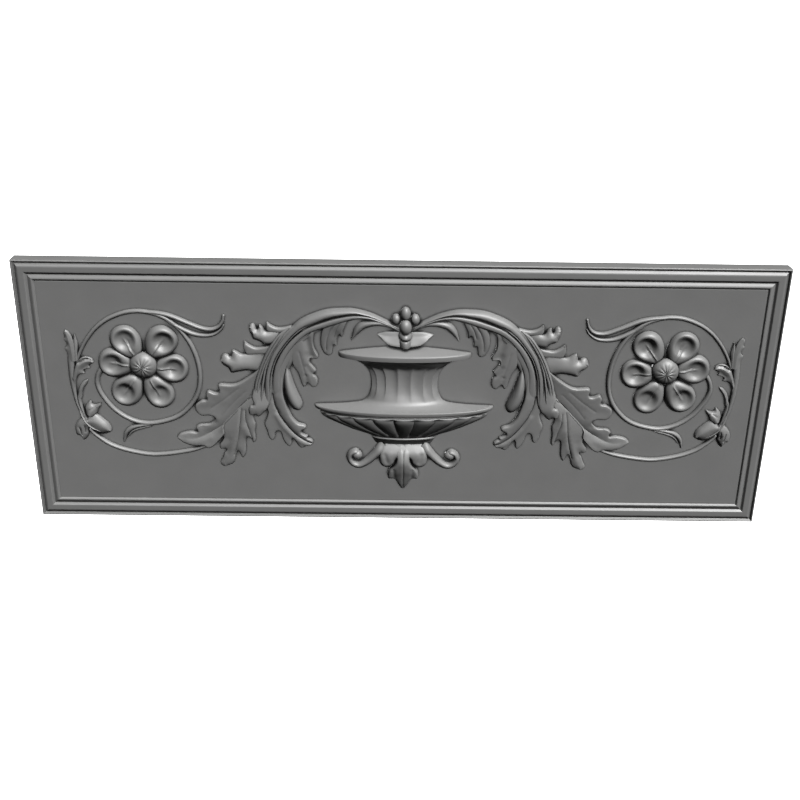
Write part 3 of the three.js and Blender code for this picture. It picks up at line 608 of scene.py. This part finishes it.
scrolls = {
    "height": 5.0,
    "stripStep": 2.8, "stripAcross": 8, "leafGrid": 2.0, "leafStep": 1.15,
    # strips: points, half widths, crowns as shares of height
    "strips": [
        # ring round the rosette
        [[[433, 48], [427, 62], [416, 80], [402, 96], [383, 109], [357, 117.5], [330, 116], [305, 104],
          [287, 83], [276, 58], [272, 32], [275, 8], [285, -12], [302, -29], [323, -38], [347, -41.5],
          [369, -36], [389, -22], [403, -3], [409, 13], [408, 25], [403, 35], [395, 44]],
         [2.6, 3.3, 3.4, 3.4, 3.4], [0.8, 1, 1, 1]],
        # double end of the scroll
        [[[340, 117.5], [322, 116], [305, 112], [283, 102.5], [265, 95.5], [253, 94.5], [244, 98],
          [238.6, 105.5], [236.4, 115.5]], [2.8, 3.2, 3.4, 3.4, 3.2, 2.8, 2.0], [1.0, 1.1, 1.1, 0.9]],
        [[[315, 109], [293, 95.5], [277, 88], [262, 86], [250, 88], [240.5, 95], [236.6, 102]],
         [2.2, 3.2, 3.6, 3.6, 3.2, 2.6, 1.5], [0.9, 1.1, 1.1, 0.9]],
        # small leaf under the ring
        [[[338, -42.5], [355, -44.5], [368, -48.5], [377, -57], [381, -70.5]],
         [2, 3, 3.4, 3.2, 1.2], [0.9, 1.1, 1, 0.6]],
        [[[342, -45], [358, -49], [368.5, -54], [375.5, -63]], [2, 2.6, 2.6, 1.2], [0.8, 0.9, 0.8, 0.5]],
        # stem along the bottom
        [[[262, -71], [285, -80], [305, -84.5], [325, -87.5], [343, -88.5], [362, -86], [382, -81],
          [399, -74], [411, -65.5], [421, -56], [426, -48]], [2.8, 3.2, 3.3, 3.2, 3], [1, 1, 1, 1.1]],
        # stem of the vine
        [[[424, -40], [431, -30], [437, -18], [440, -2], [441.3, 12], [441.5, 28], [440.8, 44], [440, 60]],
         [2.2, 2.6, 3.0, 3.4, 4, 4.6, 5, 4.4], [1.1, 1, 0.9, 0.9, 0.9, 0.8]],
        # end of the stem, which runs on over the bud
        [[[437.5, -17], [433, -31], [426, -42], [418, -48.5], [409, -53]], [1.6, 2.4, 2.3, 1.9, 1.0],
         [0.8, 1.3, 1.8, 1.85, 1.4]],
        # stalk of the small leaf
        [[[429, -32], [432.3, -22], [435, -11], [435, -3], [432.5, 5]], [1.6, 2.3, 2.6, 2.6, 1.6],
         [1.1, 1.1, 1, 1, 0.9]],
    ],
    "leaves": [
        {   # outer tip of the vine
            "spine": [[438, 48], [438, 62], [440, 76], [444.3, 91.5]],
            "outer": [[445, 48], [444.5, 58], [447.2, 65.5], [444.7, 68.5], [443.6, 72], [447.3, 78],
                      [445.4, 81.5], [447, 87]],
            "inner": [[431, 48], [432, 60], [433.4, 72], [436, 82], [440.5, 89.5]],
            "across": [0.6, 1.0, 0.7], "rise": [1.0, 1.0, 0.9, 0.7], "edge": [1.4, 1.6], "fold": 1,
        },
        {   # inner tip of the vine
            "spine": [[434, 48], [433, 62], [432.7, 74], [432.3, 86]],
            "outer": [[437, 50], [436.4, 62], [436.6, 72], [434.8, 80]],
            "inner": [[430.5, 49], [430.3, 60], [429.3, 70], [430.5, 79]],
            "across": [0.6, 0.95, 0.6], "rise": [1.0, 0.9, 0.7], "edge": [1.4, 1.4], "fold": 1,
        },
        {   # branch leaf toward the rosette
            "spine": [[438.5, 22], [434, 36], [428, 44], [419, 48.5], [410.6, 46.5]],
            "outer": [[441, 26], [437, 38], [432, 48.5], [425.5, 53.8], [418, 54.2], [412.5, 51.5]],
            "inner": [[438.5, 6], [437.3, 16], [434, 26], [429.5, 29.3], [424, 30], [425.3, 34.8],
                      [421, 37.2], [416.3, 38], [417.6, 42], [413.5, 44.3]],
            "across": [0.8, 1.15, 0.75], "rise": [1.0, 1.0, 0.95, 0.8], "edge": [1.5, 1.5], "fold": 1,
            "hollows": [[[[431, 46], [424, 50], [416, 51]], 1.7, 2.4], [[[427, 36], [420, 42]], 2.5, 1.0]],
        },
        {   # small leaf below it
            "spine": [[434.5, -6], [431.5, 5], [427, 14], [420.8, 21.8]],
            "outer": [[437, -4], [434.5, 8], [430.5, 15.5], [426, 20]],
            "inner": [[431.3, -6], [429.5, 4], [426.5, 11], [422.5, 16]],
            "across": [0.7, 1.0, 0.75], "rise": [1.0, 0.95, 0.7], "edge": [1.4, 1.4], "fold": 1,
        },
        {   # upper leaf of the bud
            "spine": [[425, -32], [420, -23], [414, -17.5], [407.5, -12]],
            "outer": [[428, -28], [428.7, -19], [425, -12.5], [420.3, -8.8], [418.4, -13.5], [413.5, -14.2]],
            "inner": [[420, -32], [415.5, -28.5], [413, -26], [410, -20], [407, -15.5]],
            "across": [0.6, 1.5, 1.1], "rise": [1.3, 1.2, 1.0, 0.8], "edge": [2.0, 2.0], "fold": 1.2,
            "creases": [[[[422, -21], [414.5, -16]], 0.7, 0.9]],
        },
        {   # lower leaf of the bud
            "spine": [[426, -38], [433, -46], [436, -56], [435, -68]],
            "outer": [[431, -31], [440, -39], [444.6, -47], [445, -56], [442.5, -60.5], [438.7, -61]],
            "inner": [[420, -42], [426, -50], [427, -57], [430.5, -64]],
            "across": [0.8, 1.4, 0.7], "rise": [1.2, 1.2, 1.1, 0.8], "edge": [2.4, 3.4], "fold": 1.2,
            "wall": 0.15,
            "creases": [[[[438.5, -48], [436, -58]], 1.0, 1.8], [[[431, -44], [431, -54]], 1.0, 1.5]],
        },
        {   # outer leaf of the bud, rolled over a ridge
            "spine": [[429, -37], [421, -38], [413, -41], [405, -46.5], [396, -53.5]],
            "outer": [[428, -35], [424, -29], [418, -26.5], [412.5, -29], [405, -35.5], [399.5, -41],
                      [396, -48]],
            "inner": [[433, -45], [425, -50.5], [418, -56], [411, -58.5], [403, -58]],
            "across": [0.6, 1.7, 0.9], "rise": [0.95, 1.0, 1.0, 0.8], "edge": [2.4, 5.5], "fold": 1.6,
            "wall": 0.12,
        },
    ],
}


# The same with a finer net, as these forms are smaller
def makeScrolls():
    for points, widths, crowns in scrolls["strips"]:
        strip(points, widths, crowns, scrolls["height"],
              step=scrolls["stripStep"], across=scrolls["stripAcross"])
    for row in scrolls["leaves"]:
        leaf(scale=scrolls["height"], grid=scrolls["leafGrid"], step=scrolls["leafStep"], **row)


makeScrolls()
print("scrolls", len(shells), "shells")

# Rosette

rosette = {
    "out": 344.5, "level": 43.0,
    # petals: degrees from the outward axis, distance of the middle, half length, half width,
    # depth of the bowl, how far the bowl is to the petal's left
    "petals": [[5, 36, 24.5, 20.6, 5.8, 0], [57.5, 37.5, 25, 19.8, 6.8, 2],
               [126, 39.6, 25, 20.5, 7.2, 3], [186, 35, 23.4, 20.4, 7.2, -2],
               [246.5, 39, 26, 19.6, 5.6, -3], [304.5, 41.5, 25.4, 20.5, 6.2, 2]],
    "rings": 20, "columns": 48,
    "ringPower": 0.8,       # less than 1 draws the rings together toward the edge
    "middleRing": 0.01,     # share of the petal that a flat cap closes
    "taper": 0.16,          # how much wider the outer half of a petal is
    "height": 12.0, "edge": 9.5,
    "tilt": 0.1,            # share of height by which the outer end stands above the middle
    "hollowOut": 6.0, "hollowWide": 12.5, "hollowPower": 2.2,
    "vein": 0.9, "veinWide": 1.1, "veinEnd": 10.0,
    "veinFrom": 3.0, "veinFull": 10.0,  # distance from the edge where it starts and is full
    "veinGroove": 0.6, "veinGrooveAt": 2.2,     # depth as a share of vein, place in widths of it
    "button": (18.6, 18.6, 13.0), "buttonUp": 5.5, "buttonShift": 1.5, "buttonRows": 20, "buttonColumns": 72,
    "rays": 12, "rayDepth": 0.8,
}


# A petal is an oval whose height is a quarter circle of the distance from its edge,
# less a round bowl, a bell curve with a flat bottom, set a little outward of its middle;
# a narrow vein with a groove beside it runs up the bowl
def petal(degrees, distance, long, wide, depth, shift):
    turn = math.radians(degrees)
    ring = np.cos(np.linspace(0, math.pi / 2, rosette["rings"]))[:, None] ** rosette["ringPower"]
    ring[-1] = rosette["middleRing"]
    angle = np.linspace(0, 2 * math.pi, rosette["columns"], endpoint=False)
    along = ring * long * np.cos(angle)
    aside = ring * wide * np.sin(angle) * (1 + rosette["taper"] * np.cos(angle))
    inward = (1 - ring) * np.hypot(long * np.cos(angle), wide * np.sin(angle))
    squared = ((along - rosette["hollowOut"]) ** 2 + (aside - shift) ** 2) / rosette["hollowWide"] ** 2
    bowl = np.exp(-squared ** rosette["hollowPower"])
    shown = ramp(rosette["veinEnd"], 0, along) * ramp(rosette["veinFrom"], rosette["veinFull"], inward)
    veins = aside / rosette["veinWide"]
    groove = rosette["veinGroove"] * np.exp(-(veins - rosette["veinGrooveAt"]) ** 2)
    vein = shown * (np.exp(-veins ** 2) - groove)
    tilted = rosette["height"] * (1 - rosette["tilt"] + rosette["tilt"] * along / long)
    height = tilted * roundUp(inward, rosette["edge"]) - depth * bowl + rosette["vein"] * vein
    out = rosette["out"] + (distance + along) * math.cos(turn) - aside * math.sin(turn)
    level = rosette["level"] + (distance + along) * math.sin(turn) + aside * math.cos(turn)
    points = place(out, level, np.maximum(height, 0))
    foot = place(out[:1], level[:1], np.full_like(out[:1], -panel["sink"]))
    addShell(np.concatenate([foot, points]))


# Petals round a rayed button
def makeRosette():
    for row in rosette["petals"]:
        petal(*row)
    egg(rosette["out"], rosette["level"] + rosette["buttonShift"], rosette["button"], rosette["buttonUp"],
        rosette["rays"], rosette["rayDepth"], rows=rosette["buttonRows"], columns=rosette["buttonColumns"])


makeRosette()
print("rosette", len(shells), "shells")

# Urn, finial and pendant

urn = {
    "columns": 133,
    # runs of the profile: points of half width, level and depth, rows in the run
    "profile": [
        [[[4, 74.5, 1.1], [30, 72.8, 8.6], [60, 69.8, 17.1], [86.5, 66.2, 24.6]], 10],
        [[[87.3, 65.6, 24.9], [87.8, 62.5, 25], [87.3, 59.6, 24.9]], 5],
        [[[86, 59.2, 24.2], [72, 56.8, 22.0], [61, 52.5, 18.2], [52.5, 46, 13.2], [46.5, 36, 11.3],
          [44.6, 24, 11.2], [45.6, 11, 13.3], [49, 2, 16.8], [54, -3, 20.0], [63, -5.8, 23.6],
          [86, -8.2, 28.2], [119, -9.6, 33.3]], 52],
        [[[119.9, -10.2, 33.7], [120.3, -12, 33.8], [119.4, -14.2, 33.5]], 5],
        [[[117, -15, 33.3], [106, -16.5, 30.2], [103.5, -17.5, 29.5]], 4],
        [[[105, -18, 29.9], [112, -19.6, 31.9], [112, -23, 31.9], [107, -27.5, 30.5], [94, -34.5, 26.8],
          [74, -43.5, 21.1], [55, -50.5, 15.7], [44, -55, 12.5]], 30],
        [[[41.5, -55.6, 11.4], [42.8, -56.8, 12.6], [42.8, -58.4, 12.4], [41, -61.5, 8.8], [38, -66, 5.2],
          [31, -70, 3.4], [18, -72.5, 2.2], [3, -73, 0.9]], 16],
    ],
    # levels: where a zone starts, is full, stays full up to, and ends
    "reeds": 8, "reedCut": 0.14, "reedPower": 0.7, "reedLevels": [-3.0, 20.0, 42.0, 50.0],
    "neckSquare": 3.0, "neckLevels": [-2.0, 14.0, 44.0, 56.0],
    "ribs": 11, "ribCut": 0.13, "ribPower": 0.6, "ribLevels": [-56.0, -48.0, -22.5, -18.5],
}


# Cut of the urn as a share of its depth: flutes of the neck are hollow between sharp
# ridges, by a sine, and ribs of the bowl are round between sharp valleys, by 1 less a sine
def urnCut(level, angle):
    share = angle / math.pi
    low, lowFull, highFull, high = urn["reedLevels"]
    flute = np.abs(np.sin(math.pi * (urn["reeds"] * share + 0.5))) ** urn["reedPower"]
    fluteZone = ramp(low, lowFull, level) * ramp(high, highFull, level)
    low, lowFull, highFull, high = urn["ribLevels"]
    rib = 1 - np.abs(np.sin(math.pi * urn["ribs"] * share)) ** urn["ribPower"]
    ribZone = ramp(low, lowFull, level) * ramp(high, highFull, level)
    return urn["reedCut"] * flute * fluteZone + urn["ribCut"] * rib * ribZone


# Power of the urn's section: 2, and up to neckSquare between the neck's levels
def urnSquare(level):
    low, lowFull, highFull, high = urn["neckLevels"]
    return 2 + (urn["neckSquare"] - 2) * ramp(low, lowFull, level) * ramp(high, highFull, level)


finial = {
    "berries": [    # out, level, radii, height of the centre
        [0.0, 120.0, (6.8, 10.2, 7.5), 6.0],
        [0.0, 103.6, (8.2, 10.6, 8.5), 11.5],
        [12.3, 112.6, (6.3, 7.8, 7.0), 5.5],
    ],
    "knot": [   # runs of half width, level and depth, rows in the run
        [[[7.6, 74.5, 15], [9.0, 75.5, 17], [9.2, 80, 17.2], [8.8, 84, 16], [7.8, 85.2, 13.6]], 12],
        [[[8.6, 85.8, 15], [9.6, 88, 17.6], [9.4, 91.5, 16.4], [8, 94.5, 13], [5, 97, 8]], 12],
    ],
    "knotColumns": 33,
    "wing": {
        "spine": [[0, 89], [12, 89], [25, 89.5], [37.3, 90.8]],
        "outer": [[0, 95.8], [15, 95.2], [25, 94.2], [33, 92.3]],
        "inner": [[0, 75], [10, 75.3], [20, 77], [27, 81], [33, 86.5]],
        "across": [0.3, 0.5, 1.05], "rise": [1.0, 0.95, 0.8, 0.4], "edge": [1.0, 2.4], "fold": 1,
    },
    "height": 13.0,         # of the wing
    "grid": 1.8, "step": 1.1,
}
pendant = {
    "volute": [[25, -69], [38, -83.5], [49, -94], [60, -100], [68.8, -97.5], [73.4, -90], [71.5, -83],
               [65.5, -79.5], [62, -83]],
    "voluteWidths": [9, 7.6, 6.4, 5.9, 5.4, 4.8, 4.6, 4.4, 5],
    "voluteCrowns": [5, 9, 9.5, 9.5, 9.5, 9, 9, 9.5, 10],
    "voluteStep": 1.6, "voluteAcross": 16,
    "bulb": [63.2, -84.2, (7.2, 6.8, 6.5), 4.0],
    "calyx": {   # bell with a lobe on each side
        "spine": [[0, -67], [0, -73], [0, -79], [0, -86]],
        "outer": [[29, -67.5], [32, -75], [33.5, -86], [32, -96], [26, -101.5], [18, -101], [11.5, -96],
                  [7.5, -88]],
        "across": [0.72, 0.95, 0.72], "rise": [0.3, 0.72, 1.08, 1.2], "edge": [5, 5], "fold": 2,
        "hollows": [[[[25, -82], [22, -92]], 3.0, 1.2]],
    },
    "leaf": {   # pointed leaf with three lobes
        "spine": [[0, -67], [0, -88], [0, -111], [0, -138]],
        "outer": [[12, -67], [11.5, -77], [9.5, -88], [12.5, -97], [19, -105], [21.5, -113.5], [20, -119],
                  [12, -119.5], [8.8, -124], [4.8, -132]],
        "across": [0.84, 1.0, 0.84], "rise": [0.35, 1.05, 1.42, 1.3, 1.02, 0.75, 0.45],
        "edge": [2.6, 2.6], "fold": 1.3,
        "creases": [[[[0, -70], [0, -134]], 1.0, 1.2]],
        "hollows": [[[[13, -104], [12, -116]], 2.5, 1.3]],
    },
    "height": 12.5,         # of the leaves
    "grid": 1.8, "step": 1.1,
}


# The same points on the other side of the axis
def otherSide(points):
    return [[-out, level] for out, level in points]


# A leaf on the axis: its inner side and half of its hollows mirror the rest
def axisLeaf(row):
    hollows = row["hollows"] + [[otherSide(line), width, depth] for line, width, depth in row["hollows"]]
    whole = {**row, "inner": otherSide(row["outer"]), "hollows": hollows}
    leaf(scale=pendant["height"], grid=pendant["grid"], step=pendant["step"], mirrored=False, **whole)


# Forms on the axis stand once, those beside it on both sides
def makeCentre():
    turning(urn["profile"], urn["columns"], urnCut, urnSquare)
    upper, lower, beside = finial["berries"]
    egg(*upper, mirrored=False)
    egg(*lower, mirrored=False)
    egg(*beside)
    turning(finial["knot"], finial["knotColumns"])
    leaf(scale=finial["height"], grid=finial["grid"], step=finial["step"], **finial["wing"])
    strip(pendant["volute"], pendant["voluteWidths"], pendant["voluteCrowns"],
          step=pendant["voluteStep"], across=pendant["voluteAcross"])
    egg(*pendant["bulb"])
    axisLeaf(pendant["calyx"])
    axisLeaf(pendant["leaf"])


makeCentre()
print("urn, finial and pendant", len(shells), "shells")

# One mesh from all shells


# The shells stand one after the other in one mesh, all but the board shifted to the
# carving's own axis. An edge is sharp where its faces turn by more than sharpFrom, and
# along the mitres, where it joins one of the board's loops of four points to the next.
def buildMesh(name):
    loopPoints = 4
    shift = np.array([panel["axisShift"] * metre, 0, 0])
    points, corners, sizes = [], [], []
    offset = 0
    for number, (spots, faces) in enumerate(shells):
        points.append(spots + (shift if number else 0))
        for rows, size in faces:
            corners.append((rows + offset).ravel())
            sizes.append(np.full(len(rows), size))
        offset += len(spots)
    points, corners, sizes = np.vstack(points), np.concatenate(corners), np.concatenate(sizes)
    mesh = bpy.data.meshes.new(name)
    mesh.vertices.add(len(points))
    mesh.vertices.foreach_set("co", points.astype(np.float32).ravel())
    mesh.loops.add(len(corners))
    mesh.loops.foreach_set("vertex_index", corners.astype(np.int32))
    mesh.polygons.add(len(sizes))
    starts = np.concatenate([[0], np.cumsum(sizes)[:-1]])
    mesh.polygons.foreach_set("loop_start", starts.astype(np.int32))
    mesh.polygons.foreach_set("use_smooth", np.ones(len(sizes), bool))
    mesh.update(calc_edges=True)
    mesh.validate()
    mesh.set_sharp_from_angle(angle=math.radians(panel["sharpFrom"]))
    edges = np.empty(len(mesh.edges) * 2, np.int32)
    mesh.edges.foreach_get("vertices", edges)
    edges = edges.reshape(-1, 2)
    mitre = (edges.max(axis=1) < boardPoints) & (np.abs(edges[:, 0] - edges[:, 1]) == loopPoints)
    sharp = np.empty(len(mesh.edges), bool)
    mesh.edges.foreach_get("use_edge_sharp", sharp)
    mesh.edges.foreach_set("use_edge_sharp", sharp | mitre)
    mesh.update()
    piece = bpy.data.objects.new(name, mesh)
    bpy.context.scene.collection.objects.link(piece)
    print(name, int((sizes - 2).sum()), "triangles")
    return piece


carving = buildMesh("carved_wall_panel")

# Paint, with painted shade in its recesses

paint = {
    "colour": (0.16, 0.16, 0.1585),
    "toneSpread": 0.04,     # lighter and darker along the brush's work by this share
    "brushScale": 30.0, "brushDetail": 4,
    "roughness": 0.52, "roughnessSpread": 0.05, "sheen": 0.6,
    # painted shade: these keys darken the colour where neighbours close a spot in, in recesses and creases
    # where shade falls
    "paintedShadeReach": 0.006,   # metres over which neighbours close a recess in
    "recessSamples": 8,
    "paintedShadeTone": 0.03,     # share of the colour that is left in the deepest
    "paintedShadeFrom": 0.3, "paintedShadeTo": 0.88,        # how open the deepest spot is, and the first light one
    "grainScale": 260.0, "grainDetail": 3, "grainDepth": 0.00006,
}


# Colour is the paint's own, times a slow noise for the brush, times painted shade: a smooth
# step of how open the spot is, so that it is darker in recesses and at the foot of each form,
# where shade falls. Roughness follows the same noise, and a fine noise raises the grain.
def makePaint():
    material = bpy.data.materials.new("satin_grey_paint")
    material.use_nodes = True
    nodes, links = material.node_tree.nodes, material.node_tree.links
    shader = nodes["Principled BSDF"]
    shader.inputs["Specular IOR Level"].default_value = paint["sheen"]
    where = nodes.new("ShaderNodeTexCoord")
    brush = nodes.new("ShaderNodeTexNoise")
    brush.inputs["Scale"].default_value = paint["brushScale"]
    brush.inputs["Detail"].default_value = paint["brushDetail"]
    links.new(where.outputs["Object"], brush.inputs["Vector"])
    tone = nodes.new("ShaderNodeMapRange")
    tone.inputs["To Min"].default_value = 1 - paint["toneSpread"]
    tone.inputs["To Max"].default_value = 1 + paint["toneSpread"]
    links.new(brush.outputs["Fac"], tone.inputs["Value"])
    tint = nodes.new("ShaderNodeVectorMath")
    tint.operation = "SCALE"
    tint.inputs[0].default_value = paint["colour"]
    links.new(tone.outputs["Result"], tint.inputs["Scale"])
    # painted shade: the ambient-occlusion node darkens the colour in recesses and creases, standing in for
    # shade
    shadeOpenness = nodes.new("ShaderNodeAmbientOcclusion")
    shadeOpenness.inputs["Distance"].default_value = paint["paintedShadeReach"]
    shadeOpenness.samples = paint["recessSamples"]
    recess = nodes.new("ShaderNodeMapRange")
    recess.interpolation_type = "SMOOTHSTEP"
    recess.inputs["From Min"].default_value = paint["paintedShadeFrom"]
    recess.inputs["From Max"].default_value = paint["paintedShadeTo"]
    recess.inputs["To Min"].default_value = paint["paintedShadeTone"]
    links.new(shadeOpenness.outputs["AO"], recess.inputs["Value"])
    paintedShade = nodes.new("ShaderNodeVectorMath")
    paintedShade.operation = "SCALE"
    links.new(tint.outputs["Vector"], paintedShade.inputs[0])
    links.new(recess.outputs["Result"], paintedShade.inputs["Scale"])
    links.new(paintedShade.outputs["Vector"], shader.inputs["Base Color"])
    gloss = nodes.new("ShaderNodeMapRange")
    gloss.inputs["To Min"].default_value = paint["roughness"] - paint["roughnessSpread"]
    gloss.inputs["To Max"].default_value = paint["roughness"] + paint["roughnessSpread"]
    links.new(brush.outputs["Fac"], gloss.inputs["Value"])
    links.new(gloss.outputs["Result"], shader.inputs["Roughness"])
    grain = nodes.new("ShaderNodeTexNoise")
    grain.inputs["Scale"].default_value = paint["grainScale"]
    grain.inputs["Detail"].default_value = paint["grainDetail"]
    links.new(where.outputs["Object"], grain.inputs["Vector"])
    bump = nodes.new("ShaderNodeBump")
    bump.inputs["Distance"].default_value = paint["grainDepth"]
    links.new(grain.outputs["Fac"], bump.inputs["Height"])
    links.new(bump.outputs["Normal"], shader.inputs["Normal"])
    return material


carving.data.materials.append(makePaint())
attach(carving, "root")
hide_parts("carved_panel")
print("paint done")

# Camera, light and floor

camera = {
    "place": (-0.01331, -1.35670, 0.57964),     # metres
    "forward": (0.00878, 0.91650, -0.39993),
    "right": (0.99989, -0.00341, 0.01415),
    "focalPixels": 1085.0, "imagePixels": 800.0,
    "sensor": 36.0,         # millimetres
    "farthest": 50.0,       # metres
}
studio = {
    "keyTurn": 34.0,        # degrees to the right of straight ahead
    "keyLift": 51.0,        # degrees above level
    "keyPower": 5.95,
    "backTurn": 187.0,      # a second, weaker light behind the panel
    "backLift": -9.0,
    "backPower": 3.0,
    "spread": 16.0,         # degrees across, as a wide soft box far off
    "fill": 0.008,          # strength of the even light from all round
    "floorDrop": 0.75, "floorSize": 12.0,       # metres
    "floorColour": (0.9, 0.9, 0.9, 1), "floorRoughness": 0.9, "floorGlow": 0.8,
}


# Place and turn of an object, from its three axes and its origin
def standing(across, over, toward, origin):
    return Matrix([[across[k], over[k], toward[k], origin[k]] for k in range(3)] + [[0, 0, 0, 1]])


# The camera's axes are the given directions, made square to each other and 1 long; the
# focal length is the one in pixels, by the sensor's size to a pixel
def makeCamera():
    data = bpy.data.cameras.new("camera")
    data.sensor_width = camera["sensor"]
    data.lens = camera["focalPixels"] / camera["imagePixels"] * camera["sensor"]
    data.clip_end = camera["farthest"]
    item = bpy.data.objects.new("camera", data)
    bpy.context.scene.collection.objects.link(item)
    forward = np.array(camera["forward"])
    right = np.array(camera["right"])
    forward /= np.linalg.norm(forward)
    right -= forward * (right @ forward)
    right /= np.linalg.norm(right)
    up = np.cross(right, forward)
    item.matrix_world = standing(right, up, -forward, camera["place"])
    bpy.context.scene.camera = item


# A wide far light without shadows, turned to the right of straight ahead and lifted:
# its direction is the point at those two angles on a ball
def makeLight(name, turn, lift, power):
    turn, lift = math.radians(turn), math.radians(lift)
    toward = np.array([math.sin(turn) * math.cos(lift), -math.cos(turn) * math.cos(lift), math.sin(lift)])
    data = bpy.data.lights.new(name, "SUN")
    data.angle = math.radians(studio["spread"])
    data.energy = power
    data.use_shadow = False
    light = bpy.data.objects.new(name, data)
    side = np.cross([0, 0, 1], toward)
    side /= np.linalg.norm(side)
    light.matrix_world = standing(side, np.cross(toward, side), toward, toward)
    bpy.context.scene.collection.objects.link(light)


# White all round to the camera, but only a faint fill to the panel
def makeWorld():
    world = bpy.data.worlds.new("studio")
    world.use_nodes = True
    nodes, links = world.node_tree.nodes, world.node_tree.links
    sky = nodes["Background"]
    sky.inputs["Color"].default_value = (1, 1, 1, 1)
    ray = nodes.new("ShaderNodeLightPath")
    level = nodes.new("ShaderNodeMapRange")
    level.inputs["To Min"].default_value = studio["fill"]
    level.inputs["To Max"].default_value = 1.0
    links.new(ray.outputs["Is Camera Ray"], level.inputs["Value"])
    links.new(level.outputs["Result"], sky.inputs["Strength"])
    bpy.context.scene.world = world


# A pale floor, which the camera sees but which throws no light on the panel
def makeFloor():
    bpy.ops.mesh.primitive_plane_add(size=studio["floorSize"], location=(0, 0, -studio["floorDrop"]))
    floor = bpy.context.object
    floor.name = "floor"
    floor.visible_diffuse = False
    floor.visible_glossy = False
    pale = bpy.data.materials.new("pale_floor")
    pale.use_nodes = True
    shader = pale.node_tree.nodes["Principled BSDF"]
    shader.inputs["Base Color"].default_value = studio["floorColour"]
    shader.inputs["Roughness"].default_value = studio["floorRoughness"]
    shader.inputs["Emission Color"].default_value = (1, 1, 1, 1)
    shader.inputs["Emission Strength"].default_value = studio["floorGlow"]
    floor.data.materials.append(pale)


makeCamera()
makeLight("key", studio["keyTurn"], studio["keyLift"], studio["keyPower"])
makeLight("back", studio["backTurn"], studio["backLift"], studio["backPower"])
makeWorld()
makeFloor()
bpy.context.scene.view_settings.view_transform = "Standard"
bpy.context.scene.view_settings.look = "High Contrast"
print("camera, light and floor done")
